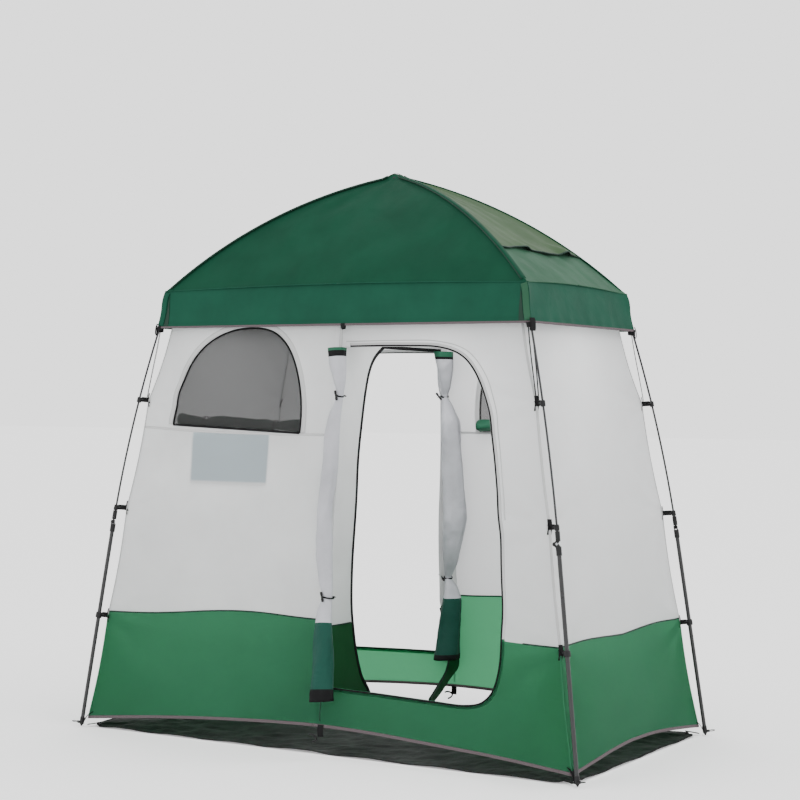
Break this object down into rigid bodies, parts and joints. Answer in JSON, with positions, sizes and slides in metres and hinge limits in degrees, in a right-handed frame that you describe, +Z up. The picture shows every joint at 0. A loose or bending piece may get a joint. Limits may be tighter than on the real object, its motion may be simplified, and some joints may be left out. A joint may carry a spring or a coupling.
{
  "type": "privacy shower tent",
  "caption": "Two-room pop-up privacy shower tent: folding hub frame with hinged legs, hipped canopy, panel walls with doors, windows and a divider.",
  "frame": {"origin": "on the ground under the middle of the hub", "axes": "+X along the long front to the right, +Y to the rear, +Z up"},
  "size_m": [2.3376, 1.288, 2.296],
  "materials": {
    "fibreglass_rod": "pultruded dark glass-fibre rod",
    "black_plastic": "moulded, fine texture",
    "foot_plastic": "moulded foot with a steel wire ring",
    "steel_pin": "zinc plated",
    "steel_tube": "black powder coat",
    "roof_fabric": "coated polyester, forest green",
    "wall_grey": "coated polyester, pale grey",
    "wall_green": "coated polyester, green",
    "window_mesh": "fine no-see mesh, grey",
    "door_fabric": "rolled door, grey above and green below",
    "floor_sheet": "woven PE sheet, green black",
    "webbing": "polypropylene webbing",
    "pocket_mesh": "blue grey mesh"
  },
  "bodies": {
    "shelter": {"front_wall": "wall_grey", "rear_wall": "wall_grey", "left_wall": "wall_grey", "right_wall": "wall_grey", "lower_band": "wall_green", "divider_wall": "wall_grey", "window_screens": "window_mesh", "window_covers": "wall_green", "door_rolls": "door_fabric", "divider_roll": "door_fabric", "floor_sheet": "floor_sheet", "wall_clips": "webbing", "storage_pocket": "pocket_mesh"},
    "hub": {"roof_hub": "black_plastic", "hub_cap": "black_plastic", "hub_pins": "steel_pin", "lantern_ring": "steel_pin", "canopy": "roof_fabric", "roof_vents": "roof_fabric", "guy_loops": "webbing"},
    "front_right_rib": {"front_right_roof_rib": "fibreglass_rod", "front_right_eave_bracket": "black_plastic", "front_right_eave_pin": "steel_pin"},
    "front_right_upper_leg": {"front_right_leg_top": "black_plastic", "front_right_leg_rod": "fibreglass_rod", "front_right_knee_block": "black_plastic", "front_right_knee_pin": "steel_pin"},
    "front_right_lower_leg": {"front_right_knee_fork": "black_plastic", "front_right_leg_tube": "steel_tube", "front_right_foot": "foot_plastic"},
    "front_left_rib": {"front_left_roof_rib": "fibreglass_rod", "front_left_eave_bracket": "black_plastic", "front_left_eave_pin": "steel_pin"},
    "front_left_upper_leg": {"front_left_leg_top": "black_plastic", "front_left_leg_rod": "fibreglass_rod", "front_left_knee_block": "black_plastic", "front_left_knee_pin": "steel_pin"},
    "front_left_lower_leg": {"front_left_knee_fork": "black_plastic", "front_left_leg_tube": "steel_tube", "front_left_foot": "foot_plastic"},
    "rear_right_rib": {"rear_right_roof_rib": "fibreglass_rod", "rear_right_eave_bracket": "black_plastic", "rear_right_eave_pin": "steel_pin"},
    "rear_right_upper_leg": {"rear_right_leg_top": "black_plastic", "rear_right_leg_rod": "fibreglass_rod", "rear_right_knee_block": "black_plastic", "rear_right_knee_pin": "steel_pin"},
    "rear_right_lower_leg": {"rear_right_knee_fork": "black_plastic", "rear_right_leg_tube": "steel_tube", "rear_right_foot": "foot_plastic"},
    "rear_left_rib": {"rear_left_roof_rib": "fibreglass_rod", "rear_left_eave_bracket": "black_plastic", "rear_left_eave_pin": "steel_pin"},
    "rear_left_upper_leg": {"rear_left_leg_top": "black_plastic", "rear_left_leg_rod": "fibreglass_rod", "rear_left_knee_block": "black_plastic", "rear_left_knee_pin": "steel_pin"},
    "rear_left_lower_leg": {"rear_left_knee_fork": "black_plastic", "rear_left_leg_tube": "steel_tube", "rear_left_foot": "foot_plastic"}
  },
  "joints": [
    {"name": "hub_drop", "type": "slide", "parent": "shelter", "child": "hub", "axis": [0, 0, -1], "range_m": [0, 1.416], "deforming": ["front_wall", "rear_wall", "left_wall", "right_wall", "lower_band", "divider_wall", "window_screens", "window_covers", "door_rolls", "divider_roll", "floor_sheet", "wall_clips", "storage_pocket", "canopy", "roof_vents", "guy_loops"]},
    {"name": "front_right_rib_hinge", "type": "hinge", "parent": "hub", "child": "front_right_rib", "pos_m": [0.03166, -0.01714, 2.262], "axis": [-0.4762, -0.8794, 0], "range_deg": [0, 107.65]},
    {"name": "front_right_eave_hinge", "type": "hinge", "parent": "front_right_rib", "child": "front_right_upper_leg", "pos_m": [0.8178, -0.44283, 1.794], "axis": [-0.4762, -0.8794, 0], "range_deg": [-121.34, 0]},
    {"name": "front_right_knee", "type": "hinge", "parent": "front_right_upper_leg", "child": "front_right_lower_leg", "pos_m": [1.01339, -0.56465, 0.85], "axis": [-0.8695, 0.4708, -0.1494], "range_deg": [0, 165]},
    {"name": "front_left_rib_hinge", "type": "hinge", "parent": "hub", "child": "front_left_rib", "pos_m": [-0.03166, -0.01714, 2.262], "axis": [-0.4762, 0.8794, 0], "range_deg": [0, 107.65]},
    {"name": "front_left_eave_hinge", "type": "hinge", "parent": "front_left_rib", "child": "front_left_upper_leg", "pos_m": [-0.8178, -0.44283, 1.794], "axis": [-0.4762, 0.8794, 0], "range_deg": [-121.34, 0]},
    {"name": "front_left_knee", "type": "hinge", "parent": "front_left_upper_leg", "child": "front_left_lower_leg", "pos_m": [-1.01339, -0.56465, 0.85], "axis": [-0.8695, -0.4708, 0.1494], "range_deg": [0, 165]},
    {"name": "rear_right_rib_hinge", "type": "hinge", "parent": "hub", "child": "rear_right_rib", "pos_m": [0.03166, 0.01714, 2.262], "axis": [0.4762, -0.8794, 0], "range_deg": [0, 107.65]},
    {"name": "rear_right_eave_hinge", "type": "hinge", "parent": "rear_right_rib", "child": "rear_right_upper_leg", "pos_m": [0.8178, 0.44283, 1.794], "axis": [0.4762, -0.8794, 0], "range_deg": [-121.34, 0]},
    {"name": "rear_right_knee", "type": "hinge", "parent": "rear_right_upper_leg", "child": "rear_right_lower_leg", "pos_m": [1.01339, 0.56465, 0.85], "axis": [0.8695, 0.4708, 0.1494], "range_deg": [0, 165]},
    {"name": "rear_left_rib_hinge", "type": "hinge", "parent": "hub", "child": "rear_left_rib", "pos_m": [-0.03166, 0.01714, 2.262], "axis": [0.4762, 0.8794, 0], "range_deg": [0, 107.65]},
    {"name": "rear_left_eave_hinge", "type": "hinge", "parent": "rear_left_rib", "child": "rear_left_upper_leg", "pos_m": [-0.8178, 0.44283, 1.794], "axis": [0.4762, 0.8794, 0], "range_deg": [-121.34, 0]},
    {"name": "rear_left_knee", "type": "hinge", "parent": "rear_left_upper_leg", "child": "rear_left_lower_leg", "pos_m": [-1.01339, 0.56465, 0.85], "axis": [0.8695, -0.4708, -0.1494], "range_deg": [0, 165]}
  ],
  "couplings": [
    {"joint": "front_right_rib_hinge", "follows": "hub_drop", "rad_per_m": 1.3266},
    {"joint": "front_right_eave_hinge", "follows": "hub_drop", "rad_per_m": -1.4954},
    {"joint": "front_left_rib_hinge", "follows": "hub_drop", "rad_per_m": 1.3266},
    {"joint": "front_left_eave_hinge", "follows": "hub_drop", "rad_per_m": -1.4954},
    {"joint": "rear_right_rib_hinge", "follows": "hub_drop", "rad_per_m": 1.3266},
    {"joint": "rear_right_eave_hinge", "follows": "hub_drop", "rad_per_m": -1.4954},
    {"joint": "rear_left_rib_hinge", "follows": "hub_drop", "rad_per_m": 1.3266},
    {"joint": "rear_left_eave_hinge", "follows": "hub_drop", "rad_per_m": -1.4954}
  ]
}
